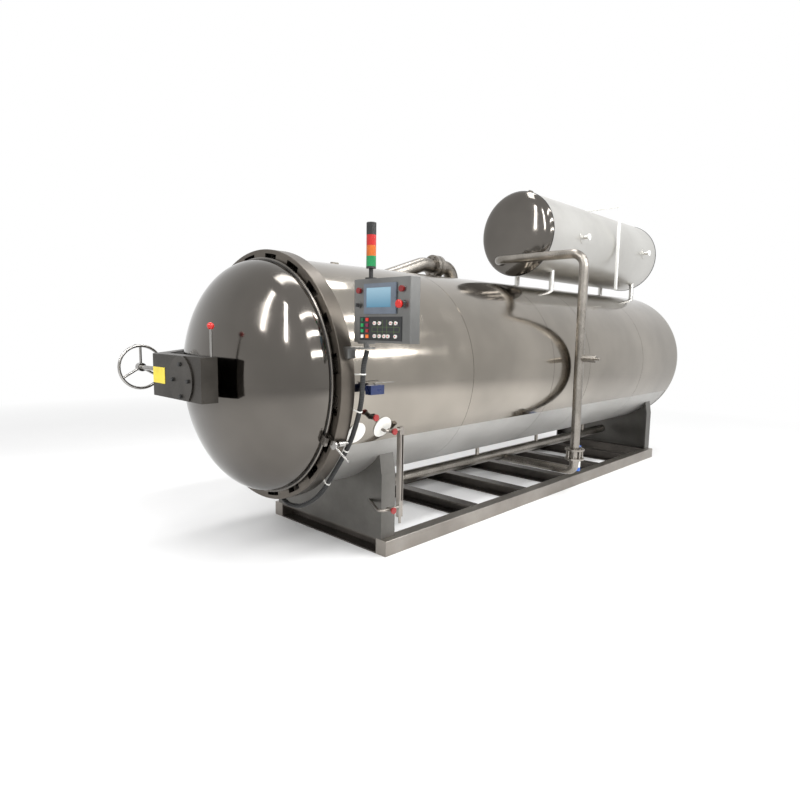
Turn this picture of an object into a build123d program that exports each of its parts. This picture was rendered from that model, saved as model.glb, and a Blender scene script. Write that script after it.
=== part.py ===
"""Horizontal retort sterilizer: a clad pressure vessel on a steel skid, with a toothed
quick-opening door on a swing arm, an overhead hot-water tank, a control panel and its pipework.

Millimetres. +X runs from the door end to the rear, +Z is up, and the side with the control
panel is -Y. The origin is on the floor, at the middle of the front cross member's underside.
"""

import math
import os

from build123d import *

# Skid
base_length = 4280.0
base_width = 1190.0
rail_height = 100.0
rail_width = 90.0
member_width = 100.0
member_wall = 9.0
member_spacing = 680.0
first_member_x = 970.0
member_count = 5
rail_edge_radius = 5.0
saddle_thickness = 120.0
saddle_wall = 12.0
saddle_inset = 44.0
saddle_lean = 50.0
saddle_upright = 410.0

# Vessel
axis_height = 1110.0
shell_bore_radius = 650.0
shell_wall = 8.0
cladding_radius = 712.0
cladding_wall = 4.0
cladding_length = 4908.0
cladding_edge_angle = 30.0
seam_positions = (1093.0, 2157.0, 2777.0, 3944.0)
seam_lap = 1.5
rear_head_depth = 325.0
basket_rail_track = 230.0
basket_rail_width = 50.0
basket_rail_height = 40.0
basket_rail_wall = 8.0

# Clamp ring and door
door_overhang = 492.0
ring_radius = 750.0
ring_width = 90.0
ring_hub_length = 70.0
hub_inset = 12.0
tooth_count = 20
gap_radius = 727.0
seat_plate = 4.0
ring_tooth_radius = 672.0
ring_tooth_depth = 40.0
gap_share = 0.49
tooth_gap_clearance = 10.0
tooth_tip_clearance = 33.0
neck_clearance = 9.0
axial_clearance = 8.0
door_tooth_depth = 30.0
gasket_height = 3.0
gasket_width = 10.0
rim_radius = 702.0
rim_width = 18.0
rim_front_clearance = 6.0
door_head_radius = 690.0
door_head_depth = 333.0
door_head_wall = 12.0
flange_bore_radius = 640.0
catch_width = 50.0
catch_reach = 33.0
catch_thickness = 18.0
catch_wall = 2.0
interlock_angle = -24.7
interlock_standoff = 16.0

# Swing arm, worm gearbox and handwheel
arm_thickness = 95.0
arm_height = 244.0
arm_rise = 12.0
arm_near_end = 221.0
arm_far_end = 356.0
arm_gap = 51.0
hinge_reach = 900.0
hinge_setback = 22.0
hinge_pin_radius = 25.0
hinge_barrel_radius = 52.0
hinge_lug_thickness = 30.0
pin_clearance = 0.08
part_clearance = 6.0
spindle_radius = 45.0
spindle_collar_radius = 85.0
cover_radius = 135.0
cover_thickness = 8.0
cover_bolt_circle = 88.0
cover_bolt_radius = 11.0
cover_bolt_height = 10.0
plate_width = 150.0
plate_height = 92.0
plate_thickness = 2.0
handwheel_radius = 132.0
handwheel_rim_radius = 9.0
handwheel_offset = 290.0
handwheel_rise = 36.0
shaft_radius = 14.0
handwheel_collar_radius = 22.0
crank_length = 80.0
crank_radius = 8.0
hub_length = 44.0
wheel_hub_radius = 26.0
spoke_count = 3
spoke_radius = 7.5
shaft_depth = 50.0
lock_rod_radius = 7.0
lock_depth = 60.0
lock_bore_depth = 80.0
lock_rod_height = 150.0
lock_ball_radius = 19.0

# Control panel and signal tower
panel_width = 400.0
panel_height = 318.0
panel_depth = 70.0
panel_edge_radius = 6.0
panel_offset = 760.0
panel_bottom = 1336.0
panel_front_gap = 72.0
bezel_size = (225.0, 150.0)
bezel_thickness = 8.0
screen_size = (173.0, 97.0)
screen_depth = 2.0
button_panel_edges = (49.0, 346.0, 189.0, 307.0)
button_panel_thickness = 3.0
square_button = 17.0
square_button_height = 5.0
square_button_columns = (70.0, 106.0)
square_button_rows = (203.0, 231.0, 259.0, 287.0)
round_button_radius = 9.0
round_button_height = 8.0
round_button_rows = ((221.0, (163.0, 198.0, 277.0, 311.0)), (285.0, (163.0, 198.0, 232.0, 258.0, 309.0)))
tower_radius = 25.0
tower_module = 52.0
tower_foot_height = 8.0
tower_foot_radius = 30.0
tower_stem_length = 46.0
tower_stem_radius = 11.0
tower_base_height = 10.0
tower_cap_height = 62.0
button_radius = 15.0
lamp_height = 12.0
lamp_down = 57.0
left_fitting_across = 43.0
right_fitting_across = 346.0
key_switch_down = 130.0
key_ring_radius = 15.0
key_barrel_radius = 9.0
key_ring_height = 8.0
key_grip = (18.0, 6.0, 14.0)
fitting_bore_depth = 6.0
stop_collar_height = 10.0
stop_gap = 10.0
stop_head_height = 12.0
stop_down = 129.0
stop_collar_radius = 17.0
stop_stem_radius = 10.0
stop_head_radius = 20.0
turning_clearance = 0.1

# Water tank
tank_radius = 376.0
tank_gap = 91.0
tank_outlet_drop = 245.0
tank_wall = 5.0
tank_front_x = 2195.0
tank_length = 2324.0
tank_head_depth = 94.0
leg_radius = 24.0
leg_spread = 190.0
leg_inset = 320.0
rear_leg_inset = 176.0
nozzle_places = (544.0, 1984.0)
nozzle_radius = 16.0
nozzle_length = 55.0
nozzle_disc_radius = 30.0
nozzle_disc_width = 8.0
nozzle_pad_radius = 60.0
tank_gauge_x = 1255.0
tank_gauge_width = 28.0
lug_width = 60.0
tank_lug_height = 45.0
vessel_lug_height = 16.0
vessel_lug_x = 30.0

# Pipework
riser_radius = 38.0
riser_gap = 185.0
riser_y = -768.0
riser_bend = 110.0
riser_wall = 3.0
riser_joint_height = 385.0
branch_radius = 29.0
branch_end_radius = 11.0
branch_end_length = 28.0
branch_height = 1190.0
branch_length = 150.0
tank_outlet_y = 115.0
cross_pipe_height = 240.0
cross_pipe_bend = 52.0
header_radius = 44.5
header_end_gap = 60.0
stub_radius = 17.0
stub_count = 4
header_y = -60.0
header_height = 285.0
flange_radius = 80.0
flange_thickness = 14.0
wafer_height = 64.0
wafer_radius = 50.0
flange_bolt_circle = 62.0
flange_bolt_radius = 8.0
flange_bolts = 8
actuator_radius = 32.0
actuator_height = 220.0
actuator_offset = 150.0
vent_radius = 57.0
vent_y = 150.0
vent_clearance = 103.0
vent_slope_drop = 185.0
vent_start = 480.0
vent_rise_end = 1060.0
coupling_x = 1180.0
coupling_width = 80.0
coupling_radius = 88.0
coupling_groove = 8.0
vent_drop = 180.0
vent_elbow_bend = 110.0

# Fittings on the near side
gauge_place = (-30.0, -690.0)
gauge_bottom = 240.0
gauge_top_rise = 13.0
gauge_lower_pipe = 345.0
gauge_upper_drop = 293.0
gauge_web_place = (-430.0, 335.0)
gauge_tube_radius = 8.0
gauge_wall = 4.0
gauge_block = 34.0
gauge_pipe_radius = 9.0
gauge_collar_x = -156.0
gauge_collar_drop = 270.0
near_collar_x = -357.0
near_collar_drop = 283.0
collar_radius = 65.0
collar_thickness = 5.0
drain_cock_x = -280.0
drain_cock_drop = 196.0
drain_front = -720.0
cock_radius = 19.0
cock_thickness = 10.0
cock_stem_radius = 5.0
cock_body_radius = 13.0
cock_offset = 92.0
cock_reach = 22.0
cock_bore_depth = 14.0
cock_stem_length = 22.0
valve_x = -330.0
valve_drop = 32.0
valve_reach = 64.0
valve_size = (100.0, 44.0, 50.0)
valve_stub_radius = 14.0
lever_length = 140.0
lever_width = 17.0
lever_rise = 9.0
conduit_radius = 13.5
conduit_gap = 6.0
tie_runs = (1, 3, 5, 7)
tie_width = 7.0
tie_wall = 2.5
tie_tab_wall = 3.0

# Worked-out places
front_x = -50.0
rear_x = front_x + base_length
half_base = base_width / 2
ring_front = front_x - door_overhang
ring_rear = ring_front + ring_width
hub_rear = ring_rear + ring_hub_length
cladding_front = ring_rear
cladding_rear = cladding_front + cladding_length
shell_outer_radius = shell_bore_radius + shell_wall
lower_cladding_radius = cladding_radius - cladding_wall
hub_radius = cladding_radius - hub_inset
insulation_depth = cladding_radius - shell_outer_radius
pitch_angle = 360 / tooth_count
seat_x = ring_rear - seat_plate
door_tooth_front = ring_front + ring_tooth_depth + axial_clearance
door_tooth_rear = door_tooth_front + door_tooth_depth
door_rear = door_tooth_rear
neck_radius = ring_tooth_radius - neck_clearance
door_tooth_radius = gap_radius - tooth_tip_clearance
rim_rear = ring_front - rim_front_clearance
rim_front = rim_rear - rim_width
door_apex = rim_front - door_head_depth
arm_rear = door_apex - arm_gap
arm_front = arm_rear - arm_thickness
arm_mid = (arm_front + arm_rear) / 2
arm_centre_z = axis_height + arm_rise
arm_top = arm_centre_z + arm_height / 2
arm_bottom = arm_centre_z - arm_height / 2
hinge_x = ring_front + hinge_setback
tank_height = axis_height + cladding_radius + tank_gap + tank_radius
tank_outlet_height = tank_height - tank_outlet_drop
riser_x = tank_front_x - riser_gap
vent_height = axis_height + cladding_radius + vent_clearance
gauge_upper_pipe = axis_height - gauge_upper_drop
gauge_top = gauge_upper_pipe + gauge_top_rise
gauge_collar_height = axis_height - gauge_collar_drop
near_collar_height = axis_height - near_collar_drop
drain_cock_height = axis_height - drain_cock_drop
valve_height = axis_height - valve_drop


def turned(points, arc=360.0, start=0.0):
    """A closed profile of (x, radius) points turned about the vessel axis, from the top."""
    profile = make_face(Plane.XZ * Polyline(*points, close=True))
    body = revolve(profile, Axis.X, arc)
    return Pos(0, 0, axis_height) * Rot(start, 0, 0) * body


def tube_x(x0, x1, outer, inner=0.0, y=0.0, z=0.0):
    """A round bar or tube along X between x0 and x1."""
    body = Pos((x0 + x1) / 2, y, z) * Rot(0, 90, 0) * Cylinder(outer, x1 - x0)
    if inner > 0:
        body -= Pos((x0 + x1) / 2, y, z) * Rot(0, 90, 0) * Cylinder(inner, x1 - x0 + 2)
    return body


def rod(start, end, radius):
    """A round bar between two points."""
    a = Vector(*start)
    b = Vector(*end)
    plane = Plane(origin=a, z_dir=b - a)
    return extrude(plane * Circle(radius), (b - a).length)


def block(x0, x1, y0, y1, z0, z1):
    """A box between two corners."""
    size = (x1 - x0, y1 - y0, z1 - z0)
    return Pos((x0 + x1) / 2, (y0 + y1) / 2, (z0 + z1) / 2) * Box(*size)


def bent_pipe(points, bend, radius, wall=0.0):
    """A pipe whose centre line is straight runs joined by arcs of one bend radius."""
    path = FilletPolyline(*points, radius=bend)
    plane = Plane(origin=path @ 0, z_dir=path % 0)
    section = plane * Circle(radius)
    if wall > 0:
        section -= plane * Circle(radius - wall)
    return sweep(section, path=path)


def half_ellipsoid(x, radius, depth, direction, z):
    """Solid half ellipsoid on the face x, bulging towards direction along X."""
    arc = EllipticalCenterArc((0, 0), depth, radius, 0, arc_size=90)
    outline = make_face([arc, Line((0, radius), (0, 0)), Line((0, 0), (depth, 0))])
    body = revolve(Plane.XZ * outline, Axis.X, 360)
    return Pos(x, 0, z) * Rot(0, 0, 90 - 90 * direction) * body


def dished_head(x, radius, depth, wall, direction, z):
    """Half an ellipsoidal shell on the face x, bulging towards direction along X."""
    outer = half_ellipsoid(x, radius, depth, direction, z)
    return outer - half_ellipsoid(x, radius - wall, depth - wall, direction, z)


def sector(radius, half_angle, centre_angle):
    """A wedge of the plane round the vessel axis, angles from the -Y side towards the top."""
    reach = 2 * radius
    edges = [math.radians(centre_angle + side * half_angle) for side in (-1, 1)]
    corners = [(-reach * math.cos(a), reach * math.sin(a)) for a in edges]
    return make_face(Polyline((0, 0), *corners, close=True))


def toothed_disc(tip_radius, root_radius, half_angle, first_angle, x0, x1):
    """Separate teeth between two radii, as a ring of sectors from x0 to x1 on the vessel axis."""
    ring = Circle(max(tip_radius, root_radius)) - Circle(min(tip_radius, root_radius))
    plane = Plane(origin=(x0, 0, axis_height), x_dir=(0, 1, 0), z_dir=(1, 0, 0))
    teeth = []
    for k in range(tooth_count):
        wedge = sector(ring_radius, half_angle, first_angle + k * pitch_angle)
        teeth.append(extrude(plane * (ring & wedge), x1 - x0))
    return Compound(teeth)


def base_rails():
    """Two long rails of the skid, closed box section with rounded edges."""
    rails = []
    for side in (-1, 1):
        y = side * (half_base - rail_width / 2)
        rail = Pos((front_x + rear_x) / 2, y, rail_height / 2) * Box(base_length, rail_width, rail_height)
        rails.append(fillet(rail.edges().filter_by(Axis.X), rail_edge_radius))
    return Compound(rails)


def channel(x, facing):
    """A channel across the skid, open towards facing, between the rails."""
    span = base_width - 2 * rail_width
    body = Pos(x, 0, rail_height / 2) * Box(member_width, span, rail_height)
    hollow = Pos(x + facing * member_wall, 0, rail_height / 2)
    body -= hollow * Box(member_width, span + 2, rail_height - 2 * member_wall)
    return body


def base_cross_members():
    """Channels between the rails: both ends and those under the vessel."""
    members = [channel(front_x + member_width / 2, -1), channel(rear_x - member_width / 2, 1)]
    members += [channel(x, -1) for x in member_places()]
    return Compound(members)


def member_places():
    """Middle X of the channels between the end ones, with none across the riser's pipe."""
    first = front_x + first_member_x + member_width / 2
    places = [first + k * member_spacing for k in range(member_count)]
    return [x for x in places if abs(x - riser_x) > member_width + riser_radius]


def saddle(x, facing):
    """A saddle: a web cut to the vessel, and a plate folded in towards it at each end."""
    half = half_base - saddle_inset
    top = axis_height - lower_cladding_radius / 2 + saddle_lean
    bend_z = rail_height + saddle_upright
    web_x = x - facing * (saddle_thickness - saddle_wall) / 2
    outline = Polyline(
        (-half, rail_height), (half, rail_height), (half, bend_z), (half - saddle_lean, top),
        (saddle_lean - half, top), (-half, bend_z), close=True,
    )
    web = extrude(make_face(Plane.YZ * outline), saddle_wall, dir=(1, 0, 0))
    body = Pos(web_x - saddle_wall / 2, 0, 0) * web
    for side in (-1, 1):
        inner = half - saddle_wall
        bent = Polyline(
            (side * half, rail_height), (side * half, bend_z), (side * (half - saddle_lean), top),
            (side * (inner - saddle_lean), top), (side * inner, bend_z), (side * inner, rail_height),
            close=True,
        )
        plate = extrude(make_face(Plane.YZ * bent), saddle_thickness, dir=(1, 0, 0))
        body += Pos(x - saddle_thickness / 2, 0, 0) * plate
    reach = saddle_thickness
    return body - tube_x(x - reach, x + reach, lower_cladding_radius, z=axis_height)


def pressure_shell():
    """The stainless pressure vessel wall, from the clamp ring's hub to the rear head."""
    return turned([
        (hub_rear, shell_bore_radius), (hub_rear, shell_outer_radius),
        (cladding_rear, shell_outer_radius), (cladding_rear, shell_bore_radius),
    ])


def basket_rails():
    """Two angle rails on the chamber's floor that carry the baskets."""
    rails = []
    floor_z = axis_height - math.sqrt(shell_bore_radius ** 2 - basket_rail_track ** 2)
    top = floor_z + basket_rail_height + basket_rail_width / 4
    x0 = hub_rear + basket_rail_width
    x1 = cladding_rear - basket_rail_width
    chamber = tube_x(hub_rear, cladding_rear, shell_bore_radius, z=axis_height)
    for side in (-1, 1):
        y = side * basket_rail_track
        half = basket_rail_width / 2
        flat = block(x0, x1, y - half, y + half, top - basket_rail_wall, top)
        web = block(x0, x1, y - basket_rail_wall / 2, y + basket_rail_wall / 2, floor_z - half, top)
        rails.append((flat + web) & chamber)
    return Compound(rails)


def rear_head():
    """The dished inner head that closes the vessel at the rear."""
    depth = rear_head_depth - insulation_depth
    return dished_head(cladding_rear, shell_outer_radius, depth, shell_wall, 1, axis_height)


def cladding_profile(outer):
    """Insulation and cladding between two radii, with a lapped step at each seam."""
    inner = shell_outer_radius
    points = [(cladding_front, outer)]
    for place in seam_positions:
        x = cladding_front + place
        points += [(x, outer), (x, outer - seam_lap), (x + 4, outer - seam_lap), (x + 4, outer)]
    points += [(cladding_rear, outer), (cladding_rear, inner)]
    return [(hub_rear, inner), (hub_rear, hub_radius), (cladding_front, hub_radius)] + points


def upper_cladding():
    """Polished stainless cladding over the top and down both sides."""
    arc = 180 + 2 * cladding_edge_angle
    return turned(cladding_profile(cladding_radius), arc, -arc / 2)


def lower_cladding():
    """Matt cladding under the vessel, between the two lower edges."""
    arc = 180 - 2 * cladding_edge_angle
    start = 90 + cladding_edge_angle
    return turned(cladding_profile(lower_cladding_radius), arc, start)


def rear_cladding_head():
    """The dished cladding over the insulated rear head."""
    return dished_head(cladding_rear, cladding_radius, rear_head_depth, insulation_depth, 1, axis_height)


def vessel_flange():
    """The flange welded to the shell: its seat for the door, and the hub under the cladding."""
    return turned([
        (seat_x, shell_bore_radius), (seat_x, ring_radius), (ring_rear, ring_radius),
        (ring_rear, hub_radius), (hub_rear, hub_radius), (hub_rear, shell_bore_radius),
    ])


def clamp_ring():
    """The clamp ring's band, one plain ring that carries the inner teeth."""
    chamfer = 3.0
    return turned([
        (ring_front, gap_radius), (ring_front, ring_radius - chamfer),
        (ring_front + chamfer, ring_radius), (seat_x, ring_radius), (seat_x, gap_radius),
    ])


def clamp_ring_teeth():
    """The ring's inner teeth, which the door's teeth turn in behind."""
    half_tooth = pitch_angle * (1 - gap_share) / 2
    return toothed_disc(
        gap_radius, ring_tooth_radius, half_tooth, 0.0, ring_front, ring_front + ring_tooth_depth
    )


def door_gasket():
    """The lip seal on the ring's seat."""
    middle = (shell_bore_radius + neck_radius) / 2
    inner, outer = middle - gasket_width / 2, middle + gasket_width / 2
    lip = seat_x - gasket_height
    return turned([(lip, inner), (lip, outer), (seat_x, outer), (seat_x, inner)])


def door_rim():
    """The polished rim in front of the ring, with the block that the interlock feels."""
    edge = 5.0
    rim = turned([
        (rim_front, flange_bore_radius), (rim_front, rim_radius - edge), (rim_front + edge, rim_radius),
        (rim_rear - edge, rim_radius), (rim_rear, rim_radius - edge), (rim_rear, flange_bore_radius),
    ])
    catch = block(
        rim_front - catch_thickness, rim_front, -rim_radius - catch_reach, -door_head_radius - catch_wall,
        axis_height - catch_width / 2, axis_height + catch_width / 2,
    )
    return rim + Pos(0, 0, axis_height) * Rot(-interlock_angle, 0, 0) * Pos(0, 0, -axis_height) * catch


def door_flange():
    """The door's forged flange, from the rim to the seal."""
    return turned([
        (rim_rear, flange_bore_radius), (rim_rear, neck_radius),
        (door_rear, neck_radius), (door_rear, flange_bore_radius),
    ])


def door_teeth():
    """The door's outer teeth, a clearance smaller each side than the ring's gaps."""
    gap_half = pitch_angle * gap_share / 2
    clearance_angle = math.degrees(tooth_gap_clearance / door_tooth_radius)
    return toothed_disc(
        door_tooth_radius, neck_radius, gap_half - clearance_angle, pitch_angle / 2,
        door_tooth_front, door_tooth_rear,
    )


def door_head():
    """The polished ellipsoidal door head with the boss that carries the spindle."""
    head = dished_head(rim_front, door_head_radius, door_head_depth, door_head_wall, -1, axis_height)
    return head


def door_spindle():
    """The boss on the head and the spindle that turns in the gearbox."""
    collar_end = arm_rear + part_clearance
    sink = 10.0
    boss = tube_x(collar_end, door_apex + sink, spindle_collar_radius, z=axis_height)
    shaft = tube_x(arm_front + part_clearance, collar_end + 1, spindle_radius, z=axis_height)
    body = boss + shaft
    head_size = (door_head_depth, door_head_radius, door_head_radius)
    return body - Pos(rim_front, 0, axis_height) * scale(Sphere(1.0), by=head_size)


def swing_arm():
    """The box beam across the door, bent back round the head to the hinge barrel."""
    beam = block(arm_front, arm_rear, -arm_near_end, arm_far_end, arm_bottom, arm_top)
    top_view = Polyline(
        (arm_front, arm_far_end - 1), (arm_rear, arm_far_end - 1),
        (hinge_x - hinge_barrel_radius * 0.9, hinge_reach - 20),
        (hinge_x - 10, hinge_reach + hinge_barrel_radius * 0.95),
        (hinge_x - 40, hinge_reach + hinge_barrel_radius * 0.95),
        close=True,
    )
    leg = extrude(Plane.XY.offset(arm_bottom) * make_face(top_view), arm_height)
    barrel = Pos(hinge_x, hinge_reach, arm_centre_z) * Cylinder(hinge_barrel_radius, arm_height)
    body = beam + leg + barrel
    pin_room = Cylinder(hinge_pin_radius + pin_clearance, arm_height + 2)
    body -= Pos(hinge_x, hinge_reach, arm_centre_z) * pin_room
    body -= tube_x(arm_front - 1, arm_rear + 1, spindle_radius + pin_clearance, z=axis_height)
    wheel_z = axis_height + handwheel_rise
    bore_start = (arm_mid, arm_far_end - shaft_depth - 10, wheel_z)
    body -= rod(bore_start, (arm_mid, arm_far_end + 5, wheel_z), shaft_radius + pin_clearance)
    collar_room = handwheel_collar_radius + part_clearance
    body -= rod((arm_mid, arm_far_end, wheel_z), (arm_mid, arm_far_end + 300, wheel_z), collar_room)
    lock_x, lock_y = lock_place()
    lock_low, lock_high = (lock_x, lock_y, arm_top - lock_bore_depth), (lock_x, lock_y, arm_top + 1)
    return body - rod(lock_low, lock_high, lock_rod_radius + pin_clearance)


def lock_place():
    """Where the lock pin stands on the arm's near end."""
    return arm_rear - 22.0, -arm_near_end + 24.0


def hinge_bracket():
    """Two lugs on the clamp ring's far side with the hinge pin through them."""
    gap = part_clearance
    body = None
    for side in (-1, 1):
        z0 = arm_centre_z + side * (arm_height / 2 + gap)
        z1 = z0 + side * hinge_lug_thickness
        low, high = min(z0, z1), max(z0, z1)
        lug_front = hinge_x - hinge_barrel_radius
        plate = block(lug_front, ring_rear - 6, ring_radius - 60, hinge_reach, low, high)
        plate += Pos(hinge_x, hinge_reach, (low + high) / 2) * Cylinder(hinge_barrel_radius, high - low)
        body = plate if body is None else body + plate
    pin_length = arm_height + 2 * (gap + hinge_lug_thickness) + 16
    body += Pos(hinge_x, hinge_reach, arm_centre_z) * Cylinder(hinge_pin_radius, pin_length)
    body -= tube_x(ring_front - 200, ring_rear + 200, ring_radius, z=axis_height)
    return body


def gearbox_cover():
    """Round cover on the gearbox, cut flush with the beam, and its bolts."""
    disc = tube_x(arm_front - cover_thickness, arm_front, cover_radius, z=axis_height)
    window = block(arm_front - 50, arm_front + 1, -300, 300, arm_bottom + 2, arm_top - 2)
    body = disc & window
    for k in range(4):
        angle = math.radians(90 * k)
        y = cover_bolt_circle * math.cos(angle)
        z = axis_height + cover_bolt_circle * math.sin(angle)
        front = arm_front - cover_thickness - cover_bolt_height
        body += tube_x(front, arm_front - cover_thickness, cover_bolt_radius, y=y, z=z)
    return body


def instruction_plate():
    """Thin yellow plate at the far end of the gearbox's front."""
    y1 = arm_far_end - 4
    z1 = arm_centre_z + 46
    return block(arm_front - plate_thickness, arm_front, y1 - plate_width, y1, z1 - plate_height, z1)


def handwheel():
    """Three-spoke handwheel with a turned rim, on the worm shaft."""
    wheel_z = axis_height + handwheel_rise
    wheel_y = arm_far_end + handwheel_offset
    half_hub = hub_length / 2
    body = Pos(arm_mid, wheel_y, wheel_z) * Rot(90, 0, 0) * Torus(handwheel_radius, handwheel_rim_radius)
    hub_end = (arm_mid, wheel_y + half_hub, wheel_z)
    body += rod((arm_mid, wheel_y - half_hub, wheel_z), hub_end, wheel_hub_radius)
    for k in range(spoke_count):
        angle = math.radians(90 + 360 / spoke_count * k)
        end_x = arm_mid + handwheel_radius * math.cos(angle)
        end_z = wheel_z + handwheel_radius * math.sin(angle)
        body += rod((arm_mid, wheel_y, wheel_z), (end_x, wheel_y, end_z), spoke_radius)
    body += rod((arm_mid, arm_far_end - shaft_depth, wheel_z), (arm_mid, wheel_y, wheel_z), shaft_radius)
    collar = arm_far_end + part_clearance
    collar_end = collar + handwheel_collar_radius
    return body + rod((arm_mid, collar, wheel_z), (arm_mid, collar_end, wheel_z), handwheel_collar_radius)


def handwheel_crank():
    """The crank handle on the handwheel's rim."""
    top = axis_height + handwheel_rise + handwheel_radius
    wheel_y = arm_far_end + handwheel_offset
    start = wheel_y + handwheel_rim_radius - 1
    handle = rod((arm_mid, start, top), (arm_mid, wheel_y + crank_length, top), crank_radius)
    rim = Pos(arm_mid, wheel_y, top - handwheel_radius) * Rot(90, 0, 0)
    return handle - rim * Torus(handwheel_radius, handwheel_rim_radius)


def lock_pin():
    """The lock pin that stands in the arm's near end, with its red ball knob."""
    x, y = lock_place()
    pin = rod((x, y, arm_top - lock_depth), (x, y, arm_top + lock_rod_height), lock_rod_radius)
    ball = Pos(x, y, arm_top + lock_rod_height + lock_ball_radius * 0.7) * Sphere(lock_ball_radius)
    return pin + ball


def panel_point(across, down, out=0.0):
    """A point on the panel's front: across from its vessel side, down from its top."""
    x = panel_front_x() - out
    return x, -panel_offset - across, panel_bottom + panel_height - down


def panel_front_x():
    """X of the panel's front face."""
    return ring_front + panel_front_gap


def panel_box():
    """The stainless control box with the collars of its key switch and emergency stop."""
    x = panel_front_x()
    y1 = -panel_offset
    top = panel_bottom + panel_height
    box = block(x, x + panel_depth, y1 - panel_width, y1, panel_bottom, top)
    body = fillet(box.edges().filter_by(Axis.Z), panel_edge_radius)
    body += front_button(left_fitting_across, key_switch_down, key_ring_radius, key_ring_height)
    body += front_button(right_fitting_across, stop_down, stop_collar_radius, stop_collar_height)
    sink = fitting_bore_depth
    key_bore = key_barrel_radius + turning_clearance
    body -= front_button(left_fitting_across, key_switch_down, key_bore, key_ring_height + sink, -sink)
    stop_bore = stop_stem_radius + turning_clearance
    return body - front_button(right_fitting_across, stop_down, stop_bore, stop_collar_height + sink, -sink)


def front_plate(across0, across1, down0, down1, thickness, start=0.0):
    """A plate on the panel's front between two corners given across and down."""
    x0, y0, z0 = panel_point(across0, down0, start)
    x1, y1, z1 = panel_point(across1, down1, start + thickness)
    return block(x1, x0, y1, y0, z1, z0)


def front_button(across, down, radius, height, start=0.0):
    """A round button on the panel's front."""
    x, y, z = panel_point(across, down, start)
    return tube_x(x - height, x, radius, y=y, z=z)


def hmi_bezel():
    """Grey frame of the touch screen."""
    left, top = 84.0, 25.0
    body = front_plate(left, left + bezel_size[0], top, top + bezel_size[1], bezel_thickness)
    s_left, s_top = screen_corner()
    pocket = front_plate(
        s_left, s_left + screen_size[0], s_top, s_top + screen_size[1], 10.0, bezel_thickness - screen_depth
    )
    return body - pocket


def screen_corner():
    """Upper corner of the screen on the panel's front."""
    return 102.0, 46.0


def hmi_screen():
    """The blue screen in the bezel's pocket."""
    left, top = screen_corner()
    start = bezel_thickness - screen_depth
    return front_plate(left, left + screen_size[0], top, top + screen_size[1], 1.0, start)


def panel_lamps():
    """Two red indicator lamps beside the screen."""
    places = (left_fitting_across, right_fitting_across)
    return Compound([front_button(across, lamp_down, button_radius, lamp_height) for across in places])


def button_panel():
    """Black lower panel with eight square buttons and nine small round ones on it."""
    body = front_plate(*button_panel_edges, button_panel_thickness)
    half = square_button / 2
    for across in square_button_columns:
        for down in square_button_rows:
            body += front_plate(
                across - half, across + half, down - half, down + half,
                square_button_height, button_panel_thickness,
            )
    for down, places in round_button_rows:
        for across in places:
            body += front_button(
                across, down, round_button_radius, round_button_height, button_panel_thickness
            )
    return body


def key_switch_knob():
    """The turning barrel of the key switch, with its grip."""
    x, y, z = panel_point(left_fitting_across, key_switch_down)
    grip_height, grip_width, grip_reach = key_grip
    front = x - key_ring_height - 2
    barrel = tube_x(front, x, key_barrel_radius, y=y, z=z)
    grip = block(front - grip_reach, front, y - grip_width / 2, y + grip_width / 2,
                 z - grip_height / 2, z + grip_height / 2)
    return barrel + grip


def emergency_stop_button():
    """Red mushroom head on its stem."""
    x, y, z = panel_point(right_fitting_across, stop_down)
    head_rear = x - stop_collar_height - stop_gap
    stem = tube_x(head_rear, x - fitting_bore_depth, stop_stem_radius, y=y, z=z)
    head = tube_x(head_rear - stop_head_height, head_rear, stop_head_radius, y=y, z=z)
    return fillet((stem + head).edges().group_by(Axis.X)[0], stop_head_height * 0.4)


def tower_place():
    """Axis of the signal tower over the panel."""
    return panel_front_x() + panel_depth / 2, -panel_offset - 89.0


def tower_part(z0, z1, radius):
    """A round section of the signal tower."""
    x, y = tower_place()
    return rod((x, y, z0), (x, y, z1), radius)


def tower_heights():
    """Heights of the tower's joints, from the panel's top upward."""
    top = panel_bottom + panel_height
    stem = top + tower_foot_height + tower_stem_length
    return top, stem, stem + tower_base_height


def tower_body():
    """Black foot, stem and base of the tower, and its black top section."""
    top, stem, base = tower_heights()
    low = tower_part(top, top + tower_foot_height, tower_foot_radius)
    low += tower_part(top, stem + 1, tower_stem_radius) + tower_part(stem, base, tower_radius)
    cap_start = base + 3 * tower_module
    cap = tower_part(cap_start, cap_start + tower_cap_height, tower_radius)
    return Compound([low, fillet(cap.edges().group_by(Axis.Z)[-1], tower_foot_height / 2)])


def tower_lens(index):
    """One coloured lens of the tower, counted from the bottom."""
    base = tower_heights()[2]
    return tower_part(base + index * tower_module, base + (index + 1) * tower_module, tower_radius)


def panel_bracket():
    """Flat bar from the clamp ring and the post that carries the panel."""
    y_post = -panel_offset - 60
    x_mid = panel_front_x() + panel_depth / 2
    bar_top = panel_bottom - 26
    bar = block(ring_front + 30, x_mid + 25, y_post - 40, -ring_radius * 0.9, bar_top - 8, bar_top)
    bar -= tube_x(ring_front - 50, ring_rear + 200, ring_radius, z=axis_height)
    post = rod((x_mid, y_post, bar_top), (x_mid, y_post, panel_bottom - 8), 14)
    top_plate = block(x_mid - 30, x_mid + 30, y_post - 35, y_post + 35, panel_bottom - 8, panel_bottom)
    foot_y = -ring_radius - 10
    foot = block(ring_rear - 60, ring_rear - 5, foot_y, foot_y + 70, bar_top - 60, bar_top - 8)
    foot -= tube_x(ring_front - 50, ring_rear + 200, ring_radius, z=axis_height)
    return bar + post + top_plate + foot


def tank_shell():
    """The water tank's rolled body."""
    x1 = tank_front_x + tank_length
    return tube_x(tank_front_x, x1, tank_radius, tank_radius - tank_wall, z=tank_height)


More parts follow.
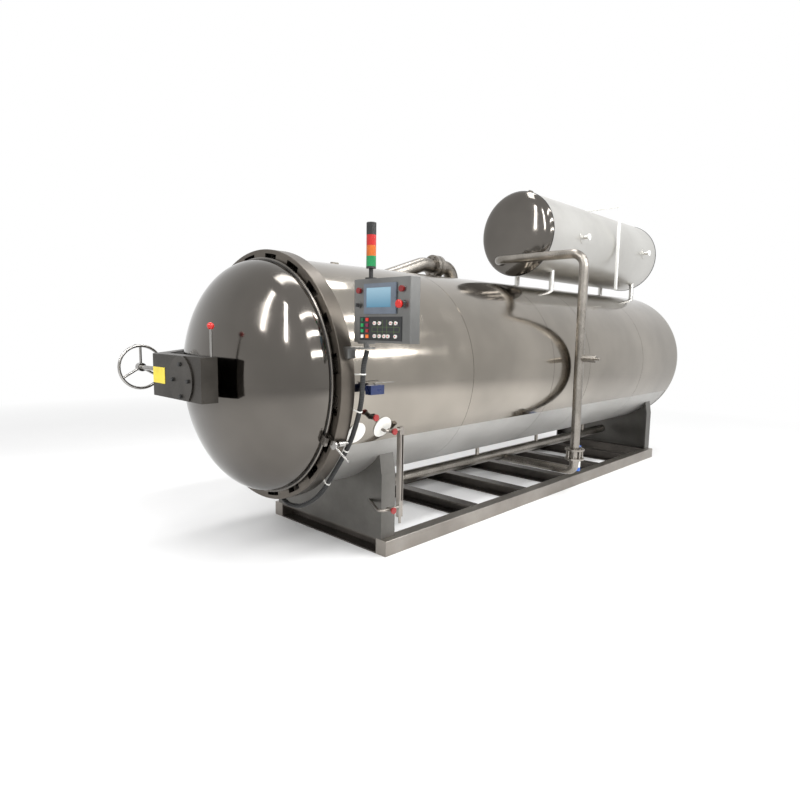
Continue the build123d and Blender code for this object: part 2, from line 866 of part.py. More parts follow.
def tank_front_head():
    """Polished dished head at the front of the tank."""
    return dished_head(tank_front_x, tank_radius, tank_head_depth, tank_wall, -1, tank_height)


def tank_rear_head():
    """Dished head at the rear of the tank."""
    return dished_head(tank_front_x + tank_length, tank_radius, tank_head_depth, tank_wall, 1, tank_height)


def tank_legs():
    """Four pipe legs from the vessel's cladding to the tank."""
    legs = []
    for x in (tank_front_x + leg_inset, tank_front_x + tank_length - rear_leg_inset):
        for side in (-1, 1):
            y = side * leg_spread
            leg = rod((x, y, axis_height), (x, y, tank_height), leg_radius)
            leg -= tube_x(x - 200, x + 200, cladding_radius, z=axis_height)
            leg -= tube_x(x - 200, x + 200, tank_radius, z=tank_height)
            legs.append(leg)
    return Compound(legs)


def lifting_lug(x, radius, centre_z, height):
    """A lifting plate that stands on a cylinder's top."""
    half = lug_width / 2
    lug = block(x - half, x + half, -half / 4, half / 4, centre_z, centre_z + radius + height)
    return lug - tube_x(x - lug_width, x + lug_width, radius, z=centre_z)


def lifting_lugs():
    """Lifting plates on the vessel's top behind the ring and at the tank's front."""
    return Compound([
        lifting_lug(vessel_lug_x, cladding_radius, axis_height, vessel_lug_height),
        lifting_lug(tank_front_x + 200, tank_radius, tank_height, tank_lug_height),
    ])


def tank_nozzles():
    """Two nozzles with blind discs on the tank's near side, on round pads."""
    pieces = []
    for place in nozzle_places:
        x = tank_front_x + place
        face = -tank_radius - nozzle_length
        body = rod((x, 0, tank_height), (x, face, tank_height), nozzle_radius)
        body += rod((x, face, tank_height), (x, face - nozzle_disc_width, tank_height), nozzle_disc_radius)
        pad = rod((x, 0, tank_height), (x, -tank_radius * 2, tank_height), nozzle_pad_radius)
        body += pad & tube_x(x - 100, x + 100, tank_radius + 3, z=tank_height)
        pieces.append(body - tube_x(x - 200, x + 200, tank_radius, z=tank_height))
    return Compound(pieces)


def tank_gauge():
    """Level gauge of the tank: top pipe, upright bar and lower pipe with its cock."""
    x = tank_front_x + tank_gauge_x
    y = -tank_radius - 22
    top = tank_height + tank_radius + 14
    upper = bent_pipe([(x, 0, tank_height + 300), (x, 0, top), (x, y, top)], 20, 9)
    upper -= tube_x(x - 50, x + 50, tank_radius, z=tank_height)
    half = tank_gauge_width / 2
    upright = block(x - half, x + half, y - 10, y + 10, tank_height - 440, top - 9)
    lower = rod((x, 0, tank_height - 310), (x, y + 10, tank_height - 310), 9)
    lower -= tube_x(x - 50, x + 50, tank_radius, z=tank_height)
    return upper + upright + lower


def riser_pipe():
    """Pipe from the tank's front head, out over the near side and down, with a side branch."""
    start = tank_front_x - 60
    path = [
        (start, tank_outlet_y, tank_outlet_height), (riser_x, tank_outlet_y, tank_outlet_height),
        (riser_x, riser_y, tank_outlet_height),
        (riser_x, riser_y, riser_joint_height + wafer_height / 2 + flange_thickness),
    ]
    pipe = bent_pipe(path, riser_bend, riser_radius, riser_wall)
    end = riser_y - branch_length
    branch = rod((riser_x, riser_y, branch_height), (riser_x, end, branch_height), branch_radius)
    branch += rod((riser_x, end, branch_height), (riser_x, end - branch_end_length, branch_height),
                  branch_end_radius)
    low, high = branch_height - 100, branch_height + 100
    branch -= rod((riser_x, riser_y, low), (riser_x, riser_y, high), riser_radius - 1)
    return pipe + branch - half_ellipsoid(tank_front_x, tank_radius, tank_head_depth, -1, tank_height)


def riser_flanges():
    """Two flanges bolted over a wafer valve at the riser's foot."""
    z = riser_joint_height
    half = wafer_height / 2
    body = rod((riser_x, riser_y, z - half), (riser_x, riser_y, z + half), wafer_radius)
    for low, high in ((z - half - flange_thickness, z - half), (z + half, z + half + flange_thickness)):
        body += rod((riser_x, riser_y, low), (riser_x, riser_y, high), flange_radius)
    reach = half + flange_thickness + flange_bolt_radius
    for k in range(flange_bolts):
        angle = math.radians(360 / flange_bolts * (k + 0.5))
        x = riser_x + flange_bolt_circle * math.cos(angle)
        y = riser_y + flange_bolt_circle * math.sin(angle)
        body += rod((x, y, z - reach), (x, y, z + reach), flange_bolt_radius)
    return body


def circulation_pipes():
    """Pipe from the riser's foot across the skid, the header under the vessel, and the actuator."""
    top = riser_joint_height - wafer_height / 2 - flange_thickness
    path = [
        (riser_x, riser_y, top), (riser_x, riser_y, cross_pipe_height),
        (riser_x, header_y, cross_pipe_height),
    ]
    across = bent_pipe(path, cross_pipe_bend, riser_radius)
    x0 = front_x + saddle_thickness + header_end_gap
    x1 = rear_x - saddle_thickness - header_end_gap
    header = tube_x(x0, x1, header_radius, y=header_y, z=header_height)
    spacing = (x1 - x0) / stub_count
    for k in range(stub_count):
        x = x0 + (k + 0.5) * spacing
        stub = rod((x, header_y, header_height), (x, header_y, axis_height), stub_radius)
        header += stub - tube_x(x - 50, x + 50, lower_cladding_radius, z=axis_height)
    stand_x = riser_x + actuator_offset
    stand_y = riser_y + cross_pipe_bend
    foot = cross_pipe_height - actuator_radius
    actuator = rod((stand_x, stand_y, foot), (stand_x, stand_y, foot + actuator_height), actuator_radius)
    link = rod((riser_x, stand_y, cross_pipe_height), (stand_x, stand_y, cross_pipe_height), stub_radius)
    return across + header + actuator + link


def vent_coupling():
    """Two bolted flanges with a groove between them, between the sloping pipe and the elbow."""
    side = (coupling_width - coupling_groove) / 2
    x1 = coupling_x + coupling_width
    body = tube_x(coupling_x, x1, coupling_radius - coupling_groove, y=vent_y, z=vent_height)
    for start in (coupling_x, x1 - side):
        body += tube_x(start, start + side, coupling_radius, y=vent_y, z=vent_height)
    return body


def vent_pipe():
    """Sloping pipe on the vessel's top, its coupling, and the elbow back down."""
    low = vent_height - vent_slope_drop
    rise = bent_pipe(
        [
            (vent_start, vent_y, low), (vent_rise_end, vent_y, vent_height),
            (coupling_x, vent_y, vent_height),
        ],
        200, vent_radius,
    )
    elbow_x = coupling_x + coupling_width
    drop_x = elbow_x + vent_drop
    elbow = bent_pipe(
        [(elbow_x, vent_y, vent_height), (drop_x, vent_y, vent_height), (drop_x, vent_y, axis_height)],
        vent_elbow_bend, vent_radius,
    )
    return rise + vent_coupling() + elbow - tube_x(0, rear_x, cladding_radius, z=axis_height)


def cock_body(x, back, front, z):
    """Body of a small cock along Y, with the bore of its stem."""
    body = rod((x, back, z), (x, front, z), cock_body_radius)
    bore = rod((x, front + cock_bore_depth, z), (x, front - 1, z), cock_stem_radius + turning_clearance)
    return body - bore


def cock_handle(x, front, z):
    """Red wheel and stem of a small cock."""
    wheel = front - cock_stem_length / 2
    stem = rod((x, front + cock_bore_depth - 2, z), (x, wheel, z), cock_stem_radius)
    return stem + rod((x, wheel, z), (x, wheel - cock_thickness, z), cock_radius)


def gauge_cock_x():
    """X of the two cocks of the level gauge."""
    return gauge_place[0] - cock_offset


def level_gauge():
    """Sight gauge beside the front saddle: channel, tube, end blocks, cocks and pipes."""
    x, y = gauge_place
    half = gauge_block / 2
    channel_body = block(x - half, x + half, y - half / 2, y + half, gauge_bottom + 40, gauge_top)
    channel_body -= block(
        x - half + gauge_wall, x + half - gauge_wall, y - half, y + half - gauge_wall,
        gauge_lower_pipe + gauge_block, gauge_upper_pipe - gauge_block,
    )
    body = channel_body + rod((x, y, gauge_bottom), (x, y, gauge_top), gauge_tube_radius)
    cock_x = gauge_cock_x()
    web_y, web_z = gauge_web_place
    vessel_end = (gauge_collar_x, -shell_bore_radius + 50, gauge_collar_height)
    upper_corner = (gauge_collar_x, y, gauge_upper_pipe)
    upper = bent_pipe([vessel_end, upper_corner, (x, y, gauge_upper_pipe)], 20, gauge_pipe_radius)
    web_end = (front_x + saddle_wall, web_y, web_z)
    lower_corner = (cock_x - 80, y, gauge_lower_pipe)
    lower = bent_pipe([web_end, lower_corner, (x, y, gauge_lower_pipe)], 30, gauge_pipe_radius)
    lower -= block(front_x, 0, web_y - collar_radius, web_y + collar_radius, rail_height, axis_height / 2)
    body += upper + lower
    for z in (gauge_lower_pipe, gauge_upper_pipe):
        bore = rod((cock_x, y - cock_reach + cock_bore_depth, z), (cock_x, y - cock_reach, z),
                   cock_stem_radius + turning_clearance)
        body += cock_body(cock_x, y + cock_body_radius, y - cock_reach, z)
        body -= bore
    return body - tube_x(-400, 300, cladding_radius, z=axis_height)


def drain_cock():
    """Small cock on the cladding's near side with its outlet."""
    x, z = drain_cock_x, drain_cock_height
    body = cock_body(x, -shell_bore_radius, drain_front, z)
    outlet_y = drain_front + cock_reach
    body += rod((x + cock_body_radius - 2, outlet_y, z), (x + 46, outlet_y, z), gauge_pipe_radius - 2)
    return body - tube_x(-400, 100, cladding_radius, z=axis_height)


def radial_point(x, z):
    """The cladding's near surface at x and height z, and the outward direction there."""
    y = -math.sqrt(cladding_radius ** 2 - (z - axis_height) ** 2)
    return Vector(x, y, z), Vector(0, y, z - axis_height).normalized()


def cladding_collars():
    """Round pads on the cladding where the gauge's pipe and a sensor go in."""
    outer = tube_x(cladding_front, 300, cladding_radius + collar_thickness, z=axis_height)
    inner = tube_x(cladding_front, 300, cladding_radius, z=axis_height)
    pads = []
    for x, z in ((gauge_collar_x, gauge_collar_height), (near_collar_x, near_collar_height)):
        point, out = radial_point(x, z)
        disc = rod(point - out * collar_radius, point + out * collar_radius, collar_radius)
        pads.append((disc & (outer - inner)) - level_gauge())
    return Compound(pads)


def side_valve_body():
    """Blue ball valve on a stub of the cladding, with the bore of its stem."""
    x, z = valve_x, valve_height
    length, width, height = valve_size
    y = -cladding_radius - valve_reach
    body = rod((x, -shell_outer_radius, z), (x, y, z), valve_stub_radius) + Pos(x, y, z) * Box(*valve_size)
    bore = rod((x, y, z), (x, y, z + height), cock_stem_radius + turning_clearance)
    return body - bore - tube_x(cladding_front, 100, cladding_radius, z=axis_height)


def side_valve_lever():
    """Steel lever of the ball valve, on its stem."""
    x, z = valve_x, valve_height
    y = -cladding_radius - valve_reach
    top = z + valve_size[2] / 2
    stem = rod((x, y, z + 2), (x, y, top + lever_rise), cock_stem_radius)
    half = lever_width / 2
    grip = top + lever_rise
    return stem + block(x - half, x + lever_length, y - half, y + half, grip, grip + 4)


def interlock_arm():
    """Disc, pin and bent rod of the pressure interlock on the clamp ring's side."""
    angle = math.radians(interlock_angle)
    r = ring_radius + interlock_standoff
    y, z = -r * math.cos(angle), axis_height + r * math.sin(angle)
    body = tube_x(ring_front - 14, ring_front - 6, 25, y=y, z=z)
    body += tube_x(ring_front - 14, ring_rear, 8, y=y, z=z)
    body += rod((ring_front - 10, y, z), (ring_front + 60, y - 40, z - 95), 6)
    bush = tube_x(ring_front + 20, ring_front + 60, 18, y=y, z=z)
    return body + (bush - tube_x(ring_front - 50, ring_rear + 100, ring_radius, z=axis_height))


def conduit_route():
    """Points of the conduit's centre line, from the panel's post down under the vessel."""
    x = ring_rear + conduit_radius + conduit_gap
    places = [
        (-822, 180), (-795, 105), (-790, 10), (-782, -90), (-750, -195), (-700, -310), (-622, -430),
        (-545, -530), (-460, -640), (-360, -722), (-245, -782), (-120, -798), (-40, -765), (-28, -690),
    ]
    return [(x, y, axis_height + rise) for y, rise in places]


def control_conduit():
    """Corrugated cable conduit from the panel round the ring's rear edge to the underside."""
    points = conduit_route()
    runs = [(Vector(*b) - Vector(*a)).length for a, b in zip(points, points[1:])]
    radii = []
    for k in range(1, len(points) - 1):
        before = Vector(*points[k]) - Vector(*points[k - 1])
        after = Vector(*points[k + 1]) - Vector(*points[k])
        half_turn = math.radians(before.get_angle(after)) / 2
        radii.append(0.45 * min(runs[k - 1], runs[k]) / math.tan(half_turn))
    path = FilletPolyline(*points, radius=radii)
    body = sweep(Plane(origin=path @ 0, z_dir=path % 0) * Circle(conduit_radius), path=path)
    return body - tube_x(ring_rear - 1, 300, lower_cladding_radius, z=axis_height)


def conduit_clips():
    """White clips round the conduit, each on a flat tab on the ring's rear face."""
    points = conduit_route()
    clips = []
    for k in tie_runs:
        start, end = Vector(*points[k]), Vector(*points[k + 1])
        middle = (start + end) / 2
        along = (end - start).normalized()
        half = along * (tie_width / 2)
        sleeve = rod(middle - half, middle + half, conduit_radius + tie_wall)
        reach = math.hypot(middle.Y, middle.Z - axis_height)
        tilt = math.degrees(math.atan2(middle.Z - axis_height, -middle.Y))
        tab = block(ring_rear, ring_rear + tie_tab_wall + tie_wall, -reach, -cladding_radius - 10,
                    axis_height - tie_width / 2, axis_height + tie_width / 2)
        tab = Pos(0, 0, axis_height) * Rot(-tilt, 0, 0) * Pos(0, 0, -axis_height) * tab
        clips.append(sleeve + tab - rod(start, end, conduit_radius))
    return Compound(clips)


parts = {
    "base_rails": base_rails(),
    "base_cross_members": base_cross_members(),
    "front_saddle": saddle(front_x + saddle_thickness / 2, 1),
    "rear_saddle": saddle(rear_x - saddle_thickness / 2, -1),
    "pressure_shell": pressure_shell(),
    "rear_head": rear_head(),
    "basket_rails": basket_rails(),
    "upper_cladding": upper_cladding(),
    "lower_cladding": lower_cladding(),
    "rear_cladding_head": rear_cladding_head(),
    "vessel_flange": vessel_flange(),
    "clamp_ring": clamp_ring(),
    "clamp_ring_teeth": clamp_ring_teeth(),
    "door_gasket": door_gasket(),
    "hinge_bracket": hinge_bracket(),
    "door_rim": door_rim(),
    "door_flange": door_flange(),
    "door_teeth": door_teeth(),
    "door_head": door_head(),
    "door_spindle": door_spindle(),
    "swing_arm": swing_arm(),
    "gearbox_cover": gearbox_cover(),
    "instruction_plate": instruction_plate(),
    "handwheel": handwheel(),
    "handwheel_crank": handwheel_crank(),
    "lock_pin": lock_pin(),
    "panel_box": panel_box(),
    "panel_bracket": panel_bracket(),
    "hmi_bezel": hmi_bezel(),
    "hmi_screen": hmi_screen(),
    "panel_lamps": panel_lamps(),
    "button_panel": button_panel(),
    "key_switch_knob": key_switch_knob(),
    "emergency_stop_button": emergency_stop_button(),
    "tower_body": tower_body(),
    "tower_green_lens": tower_lens(0),
    "tower_amber_lens": tower_lens(1),
    "tower_red_lens": tower_lens(2),
    "tank_shell": tank_shell(),
    "tank_front_head": tank_front_head(),
    "tank_rear_head": tank_rear_head(),
    "tank_legs": tank_legs(),
    "tank_gauge": tank_gauge(),
    "tank_nozzles": tank_nozzles(),
    "lifting_lugs": lifting_lugs(),
    "riser_pipe": riser_pipe(),
    "riser_flanges": riser_flanges(),
    "circulation_pipes": circulation_pipes(),
    "vent_pipe": vent_pipe(),
    "level_gauge": level_gauge(),
    "gauge_upper_handle": cock_handle(gauge_cock_x(), gauge_place[1] - cock_reach, gauge_upper_pipe),
    "gauge_lower_handle": cock_handle(gauge_cock_x(), gauge_place[1] - cock_reach, gauge_lower_pipe),
    "drain_cock": drain_cock(),
    "drain_cock_handle": cock_handle(drain_cock_x, drain_front, drain_cock_height),
    "cladding_collars": cladding_collars(),
    "side_valve_body": side_valve_body(),
    "side_valve_lever": side_valve_lever(),
    "interlock_arm": interlock_arm(),
    "control_conduit": control_conduit(),
    "conduit_clips": conduit_clips(),
}

os.makedirs("parts", exist_ok=True)
for name, shape in parts.items():
    export_step(shape, f"parts/{name}.step")
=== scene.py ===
import math

import bpy
import numpy as np
from mathutils import Matrix, Vector


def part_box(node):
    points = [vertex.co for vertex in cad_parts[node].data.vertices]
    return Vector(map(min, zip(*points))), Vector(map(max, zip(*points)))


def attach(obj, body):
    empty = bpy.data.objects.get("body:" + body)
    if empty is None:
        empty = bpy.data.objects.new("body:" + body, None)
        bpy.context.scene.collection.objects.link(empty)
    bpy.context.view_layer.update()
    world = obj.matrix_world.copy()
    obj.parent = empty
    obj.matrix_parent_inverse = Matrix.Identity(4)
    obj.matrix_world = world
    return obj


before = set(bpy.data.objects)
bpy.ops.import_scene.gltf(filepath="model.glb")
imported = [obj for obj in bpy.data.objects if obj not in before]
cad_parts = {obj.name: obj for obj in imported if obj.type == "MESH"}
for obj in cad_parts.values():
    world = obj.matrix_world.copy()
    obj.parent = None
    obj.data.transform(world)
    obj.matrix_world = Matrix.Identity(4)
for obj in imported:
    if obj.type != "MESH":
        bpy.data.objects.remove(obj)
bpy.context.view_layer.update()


# Skid rails and cross members. Closed stainless box section and folded channel, welded into one
# frame under the saddles. They are ground satin along their length, and cloudy where heat and
# handling have dulled them.
def start_material(name):
    """A new node material with its Principled shader, ready for a finish."""
    material = bpy.data.materials.new(name)
    material.use_nodes = True
    shader = material.node_tree.nodes["Principled BSDF"]
    return material, material.node_tree, shader


def add_node(tree, kind, **settings):
    """A new node of that kind with its settings and, by socket name, its input values."""
    node = tree.nodes.new("ShaderNode" + kind)
    for key, value in settings.items():
        if key in node.inputs:
            node.inputs[key].default_value = value
        else:
            setattr(node, key, value)
    return node


def noise_value(tree, scale, stretch=(1, 1, 1), detail=4.0):
    """Noise over the object's own coordinates, finer along an axis whose stretch is larger; gives
    its Fac socket."""
    place = add_node(tree, "TexCoord")
    mapping = add_node(tree, "Mapping", Scale=stretch)
    noise = add_node(tree, "TexNoise", Scale=scale, Detail=detail, Roughness=0.55)
    tree.links.new(place.outputs["Object"], mapping.inputs["Vector"])
    tree.links.new(mapping.outputs["Vector"], noise.inputs["Vector"])
    return noise.outputs["Fac"]


def ramp(tree, source, stops):
    """Colours along a value, from (position, colour) stops."""
    node = add_node(tree, "ValToRGB")
    points = node.color_ramp.elements
    while len(points) < len(stops):
        points.new(0.5)
    for point, (position, colour) in zip(points, stops):
        point.position = position
        point.color = (*colour, 1.0)
    tree.links.new(source, node.inputs["Fac"])
    return node.outputs["Color"]


def grey(value):
    """A neutral colour."""
    return (value, value, value)


def bump(tree, shader, source, strength, distance):
    """Height from a value, after any bump that the shader has already."""
    node = add_node(tree, "Bump", Strength=strength, Distance=distance)
    tree.links.new(source, node.inputs["Height"])
    before = shader.inputs["Normal"].links
    if before:
        tree.links.new(before[0].from_socket, node.inputs["Normal"])
    tree.links.new(node.outputs["Normal"], shader.inputs["Normal"])


def ground_steel(name, light, dark, rough, grain, patch):
    """Ground stainless: the tone clouds from dark to light, and fine lines along the grain set
    the gloss between two values of roughness and stand as height."""
    material, tree, shader = start_material(name)
    shader.inputs["Metallic"].default_value = 1.0
    cloud = noise_value(tree, scale=patch, detail=6.0)
    tree.links.new(ramp(tree, cloud, [(0.3, dark), (0.7, light)]), shader.inputs["Base Color"])
    lines = noise_value(tree, scale=60.0, stretch=grain, detail=3.0)
    gloss = ramp(tree, lines, [(0.25, grey(rough[0])), (0.75, grey(rough[1]))])
    tree.links.new(gloss, shader.inputs["Roughness"])
    bump(tree, shader, lines, strength=0.12, distance=0.0006)
    return material


def finish(material, *names):
    """Gives CAD nodes their material."""
    for name in names:
        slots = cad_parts[name].data.materials
        slots.clear()
        slots.append(material)


rail_steel = ground_steel(
    "rail_steel", light=(0.36, 0.335, 0.305), dark=(0.2, 0.18, 0.16),
    rough=(0.3, 0.5), grain=(0.6, 12, 12), patch=1.6,
)
finish(rail_steel, "base_rails")
member_steel = ground_steel(
    "member_steel", light=(0.16, 0.145, 0.13), dark=(0.08, 0.073, 0.066),
    rough=(0.38, 0.6), grain=(10, 0.6, 10), patch=2.2,
)
finish(member_steel, "base_cross_members")


# Saddles. Stainless plate: an upright web cut to the vessel's curve, with its ends folded in,
# welded between the vessel and the rails. Ground upright. Their tone is darkened below the rails'
# as painted shade, for the shadow under the vessel.
saddle_steel = ground_steel(
    "saddle_steel", light=(0.17, 0.164, 0.153), dark=(0.1, 0.096, 0.088),
    rough=(0.34, 0.52), grain=(8, 8, 0.6), patch=2.4,
)
finish(saddle_steel, "front_saddle", "rear_saddle")


# Pressure vessel. Mill-finished stainless plate, rolled and closed by a dished head. It shows
# only through the open door, with the two rails for the baskets welded inside it.
vessel_steel = ground_steel(
    "vessel_steel", light=(0.5, 0.49, 0.47), dark=(0.36, 0.35, 0.33),
    rough=(0.35, 0.5), grain=(1, 6, 6), patch=2.0,
)
finish(vessel_steel, "pressure_shell", "rear_head", "basket_rails")


# Cladding. Mirror-polished stainless sheet rolled round the insulation in five lapped rings,
# with the slow waves of thin sheet and a haze of handling marks. The lower sheet is matt, and
# the lifting lugs on top are polished like the rings.
def mirror_steel(name, tint, rough, haze, wave, wave_scale):
    """Polished sheet: a slightly clouded tone, near-mirror gloss with smudges, and slow waves."""
    material, tree, shader = start_material(name)
    shader.inputs["Metallic"].default_value = 1.0
    cloud = noise_value(tree, scale=1.3, detail=3.0)
    darker = tuple(0.76 * c for c in tint)
    tree.links.new(ramp(tree, cloud, [(0.35, darker), (0.65, tint)]), shader.inputs["Base Color"])
    smudge = noise_value(tree, scale=6.0, stretch=(1, 1, 0.5), detail=6.0)
    gloss = ramp(tree, smudge, [(0.35, grey(rough)), (0.75, grey(haze))])
    tree.links.new(gloss, shader.inputs["Roughness"])
    waves = noise_value(tree, scale=wave_scale, detail=1.0)
    bump(tree, shader, waves, strength=0.5, distance=wave)
    return material


# The polished sheet's dark brownish tint is a painted reflection of dark surroundings.
cladding_mirror_painted_reflection = mirror_steel(
    "cladding_mirror_painted_reflection", tint=(0.32, 0.292, 0.253), rough=0.08, haze=0.2, wave=0.004, wave_scale=2.2,
)
finish(cladding_mirror_painted_reflection, "upper_cladding", "rear_cladding_head", "lifting_lugs")
matt_sheet = ground_steel(
    "matt_sheet", light=(0.5, 0.495, 0.48), dark=(0.38, 0.372, 0.355),
    rough=(0.42, 0.58), grain=(0.8, 8, 8), patch=1.2,
)
finish(matt_sheet, "lower_cladding")


# Clamp ring and hinge bracket. A turned stainless forging with teeth inside it, warm satin, with
# tool marks round it, over the flange that is welded to the vessel. The hinge's two lugs are on
# its far side.
# The forging's tone is darkened as painted shade, the shade on its front faces.
ring_steel = ground_steel(
    "ring_steel", light=(0.14, 0.124, 0.106), dark=(0.088, 0.077, 0.065),
    rough=(0.28, 0.45), grain=(14, 1, 1), patch=2.0,
)
finish(ring_steel, "clamp_ring", "clamp_ring_teeth", "vessel_flange", "hinge_bracket")


# Door. A machined toothed flange with a bright rim, and a spun ellipsoidal head polished to a
# mirror, on the spindle of the gearbox. A thin dark joint runs where the head is welded in.
flange_steel = ground_steel(
    "flange_steel", light=(0.2, 0.185, 0.168), dark=(0.1, 0.092, 0.082),
    rough=(0.18, 0.32), grain=(14, 1, 1), patch=2.6,
)
finish(flange_steel, "door_rim", "door_flange", "door_teeth", "door_spindle")
# The head's dark tint is a painted reflection of dark surroundings.
head_mirror_painted_reflection = mirror_steel(
    "head_mirror_painted_reflection", tint=(0.138, 0.127, 0.114), rough=0.07, haze=0.2, wave=0.003, wave_scale=2.6,
)
finish(head_mirror_painted_reflection, "door_head")


def dull_black(name, shade, rough, grain_scale):
    """Black rubber or plastic: nearly even tone, dull, with a fine moulded grain."""
    material, tree, shader = start_material(name)
    cloud = noise_value(tree, scale=9.0)
    lighter = grey(1.8 * shade)
    tree.links.new(ramp(tree, cloud, [(0.3, grey(shade)), (0.7, lighter)]), shader.inputs["Base Color"])
    shader.inputs["Roughness"].default_value = rough
    shader.inputs["Specular IOR Level"].default_value = 0.25
    grain = noise_value(tree, scale=grain_scale, detail=2.0)
    bump(tree, shader, grain, strength=0.15, distance=0.0005)
    return material


def ring_bar(centre_x, centre_z, ring_radius, bar_radius, sides, around=160):
    """A round bar bent to a closed upright ring about the X axis.

    One angle goes round the ring and the other round the bar. A point's distance from the ring's
    axis is the ring's radius plus the bar's radius times the cosine of the bar's angle. Y and Z
    are that distance times the cosine and the sine of the ring's angle, and X goes back by the
    bar's radius times the sine of the bar's angle."""
    ring_angle = 2 * np.pi * np.arange(around)[:, None] / around
    bar_angle = 2 * np.pi * np.arange(sides)[None, :] / sides
    distance = ring_radius + bar_radius * np.cos(bar_angle)
    x = centre_x - bar_radius * np.sin(bar_angle) + 0 * ring_angle
    y = distance * np.cos(ring_angle)
    z = centre_z + distance * np.sin(ring_angle)
    here = sides * np.arange(around)[:, None]
    following = (here + sides) % (sides * around)
    corner = np.arange(sides)[None, :]
    beside = (corner + 1) % sides
    faces = np.stack([here + corner, here + beside, following + beside, following + corner], 2)
    return np.stack([x, y, z], 2).reshape(-1, 3), faces.reshape(-1, 4)


def add_piece(name, body, points, faces, material, smooth=True):
    """A new closed piece from its points and faces, that rides on a body."""
    mesh = bpy.data.meshes.new(name)
    mesh.from_pydata(points.tolist(), [], [loop.tolist() for loop in faces])
    mesh.validate()
    mesh.polygons.foreach_set("use_smooth", [smooth] * len(mesh.polygons))
    mesh.materials.append(material)
    piece = bpy.data.objects.new(name, mesh)
    bpy.context.scene.collection.objects.link(piece)
    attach(piece, body)


axis_height = 1.11
head_joint_x = -0.5665
head_joint_radius = 0.691
head_joint_bar = 0.0018
head_joint = dull_black("head_joint", shade=0.02, rough=0.6, grain_scale=200.0)
seam = ring_bar(head_joint_x, axis_height, head_joint_radius, head_joint_bar, sides=6)
add_piece("door_head_joint", "door", *seam, head_joint)


# Seal and cable conduit. The seal is moulded black rubber seated on the vessel's flange. The
# conduit is ribbed black nylon, clipped to the back of the clamp ring.
black_rubber = dull_black("black_rubber", shade=0.018, rough=0.62, grain_scale=300.0)
finish(black_rubber, "door_gasket")


def level(tree, axis):
    """One of the object's own coordinates, as a socket."""
    place = add_node(tree, "TexCoord")
    split = add_node(tree, "SeparateXYZ")
    tree.links.new(place.outputs["Object"], split.inputs["Vector"])
    return split.outputs[axis]


rib_pitch = 0.009
conduit_nylon = dull_black("conduit_nylon", shade=0.014, rough=0.42, grain_scale=200.0)
conduit_tree = conduit_nylon.node_tree
rib_wave = add_node(conduit_tree, "Math", operation="SINE")
rib_scale = add_node(conduit_tree, "Math", operation="MULTIPLY")
rib_scale.inputs[1].default_value = 2 * math.pi / rib_pitch
conduit_tree.links.new(level(conduit_tree, "Z"), rib_scale.inputs[0])
conduit_tree.links.new(rib_scale.outputs[0], rib_wave.inputs[0])
conduit_shader = conduit_tree.nodes["Principled BSDF"]
bump(conduit_tree, conduit_shader, rib_wave.outputs[0], strength=0.6, distance=0.0015)
finish(conduit_nylon, "control_conduit")


# Swing arm and gearbox cover. Fabricated plate in dull brownish grey steel, brushed by hand,
# darkened on the arm as painted shade for the shade on its front face. The round cover closes the
# gearbox and is held by four black bolts.
arm_steel = ground_steel(
    "arm_steel", light=(0.07, 0.064, 0.057), dark=(0.036, 0.033, 0.029),
    rough=(0.32, 0.5), grain=(6, 1, 6), patch=4.0,
)
finish(arm_steel, "swing_arm")
cover_steel = ground_steel(
    "cover_steel", light=(0.08, 0.073, 0.065), dark=(0.046, 0.042, 0.037),
    rough=(0.3, 0.46), grain=(6, 6, 1), patch=6.0,
)
finish(cover_steel, "gearbox_cover")


def paint(node_name, material, test):
    """Gives a second material to those faces of a CAD node whose middle passes a test."""
    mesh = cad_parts[node_name].data
    mesh.materials.append(material)
    index = len(mesh.materials) - 1
    for face in mesh.polygons:
        if test(face.center):
            face.material_index = index


bolt_foot_x = -1.0535
cover_black = dull_black("cover_black", shade=0.02, rough=0.5, grain_scale=120.0)
paint("gearbox_cover", cover_black, lambda middle: middle[0] < bolt_foot_x)


# Plate on the gearbox. Thin sheet enamelled yellow, fixed flat on the gearbox's front at its far
# end, slightly worn and with no marks on it.
def painted(name, colour, rough):
    """Enamel or moulded colour: a slight cloud in the tone, and uneven gloss."""
    material, tree, shader = start_material(name)
    cloud = noise_value(tree, scale=12.0, detail=5.0)
    worn = tuple(0.8 * c for c in colour)
    tree.links.new(ramp(tree, cloud, [(0.3, worn), (0.6, colour)]), shader.inputs["Base Color"])
    glossy, dull = grey(0.8 * rough), grey(min(1.0, 1.3 * rough))
    gloss = ramp(tree, noise_value(tree, scale=30.0), [(0.3, glossy), (0.7, dull)])
    tree.links.new(gloss, shader.inputs["Roughness"])
    return material


finish(painted("yellow_enamel", (0.76, 0.6, 0.035), rough=0.35), "instruction_plate")


# Handwheel, lock pin and small fittings. Bright-turned steel, and darker steel for the drain
# cock's body. The pin's knob and the stop button are moulded in red, and so are the handles of
# the cocks, in a deeper red.
bright_steel = mirror_steel(
    "bright_steel", tint=(0.36, 0.35, 0.335), rough=0.16, haze=0.3, wave=0.0004, wave_scale=40.0,
)
finish(bright_steel, "lock_pin", "side_valve_lever", "interlock_arm", "handwheel", "handwheel_crank")
dark_steel = ground_steel(
    "dark_steel", light=(0.09, 0.085, 0.08), dark=(0.04, 0.038, 0.036),
    rough=(0.3, 0.5), grain=(6, 6, 1), patch=12.0,
)
finish(dark_steel, "drain_cock")
red_plastic = painted("red_plastic", (0.46, 0.014, 0.01), rough=0.24)
knob_height = 0.04
knob_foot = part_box("lock_pin")[1][2] - knob_height
paint("lock_pin", red_plastic, lambda middle: middle[2] > knob_foot)
finish(red_plastic, "emergency_stop_button")
cock_red = painted("cock_red", (0.26, 0.014, 0.014), rough=0.35)
finish(cock_red, "gauge_upper_handle", "gauge_lower_handle", "drain_cock_handle")
